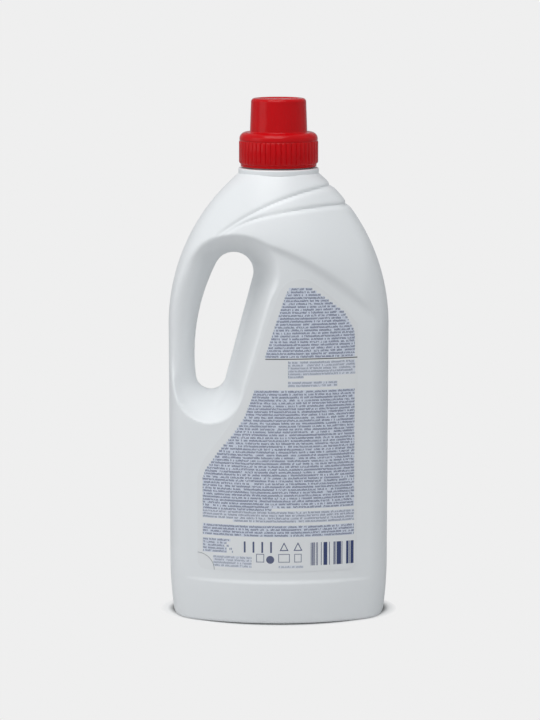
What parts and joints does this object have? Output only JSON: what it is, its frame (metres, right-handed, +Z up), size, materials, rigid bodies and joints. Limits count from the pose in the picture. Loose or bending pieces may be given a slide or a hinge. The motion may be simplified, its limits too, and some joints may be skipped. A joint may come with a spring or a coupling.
{
  "type": "laundry detergent bottle",
  "caption": "White plastic laundry detergent bottle with a hollow through handle, a front label, a pouring spout and a red screw-on dosing cap.",
  "frame": {"origin": "middle of the standing face, on the axis of the neck", "axes": "+Z up, the label faces -Y and the handle is on -X"},
  "size_m": [0.1264, 0.0772, 0.2977],
  "materials": {
    "bottle": "satin",
    "cap": "satin",
    "spout": "satin",
    "seal": "matte",
    "label_base": "satin",
    "label_cover": "satin"
  },
  "bodies": {
    "bottle": {"bottle_foot": "bottle", "bottle_body": "bottle", "bottle_grip": "bottle", "bottle_shoulder": "bottle", "bottle_neck": "bottle", "pour_spout": "spout", "label_base": "label_base", "label_cover": "label_cover"},
    "seal": {"seal_ring": "seal"},
    "cap": {"dosing_cap": "cap"}
  },
  "joints": [
    {"name": "cap_lift", "type": "slide", "parent": "bottle", "child": "seal", "axis": [0, 0, 1], "range_m": [0, 0.04]},
    {"name": "cap_turn", "type": "hinge", "parent": "seal", "child": "cap", "pos_m": [0, 0, 0.27], "axis": [0, 0, 1], "range_deg": [0, 2880]}
  ],
  "couplings": [
    {"joint": "cap_lift", "follows": "cap_turn", "m_per_rad": 0.00079577}
  ]
}
